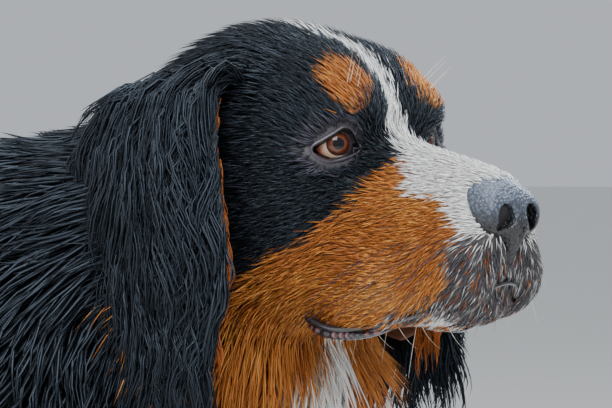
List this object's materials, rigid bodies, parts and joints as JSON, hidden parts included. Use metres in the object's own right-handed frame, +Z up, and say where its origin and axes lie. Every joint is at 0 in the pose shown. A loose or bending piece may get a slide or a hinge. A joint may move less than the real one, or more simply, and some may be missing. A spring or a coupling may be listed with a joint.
{
  "type": "bernese mountain dog",
  "caption": "Life-size still model of a standing long-coated mountain dog, head turned to its right, for display.",
  "frame": {"origin": "on the floor, under the middle of the dog's bounding box", "axes": "+Z up; +X towards the dog's chest and head; +Y towards its left side"},
  "size_m": [1.2158, 0.398, 0.7564],
  "materials": {
    "coat_black": "long glossy black hair with a slight wave",
    "coat_rust": "dense rust-brown hair",
    "nose_leather": "moist pebbled dark leather",
    "eye_amber": "wet, glossy warm brown"
  },
  "bodies": {
    "root": {"head": "coat_black", "nose": "nose_leather", "eye_left": "eye_amber", "eye_right": "eye_amber", "ear_left": "coat_black", "ear_right": "coat_black", "neck": "coat_black", "torso": "coat_black", "foreleg_left": "coat_rust", "foreleg_right": "coat_rust", "hindleg_left": "coat_rust", "hindleg_right": "coat_rust", "tail": "coat_black"}
  },
  "joints": []
}
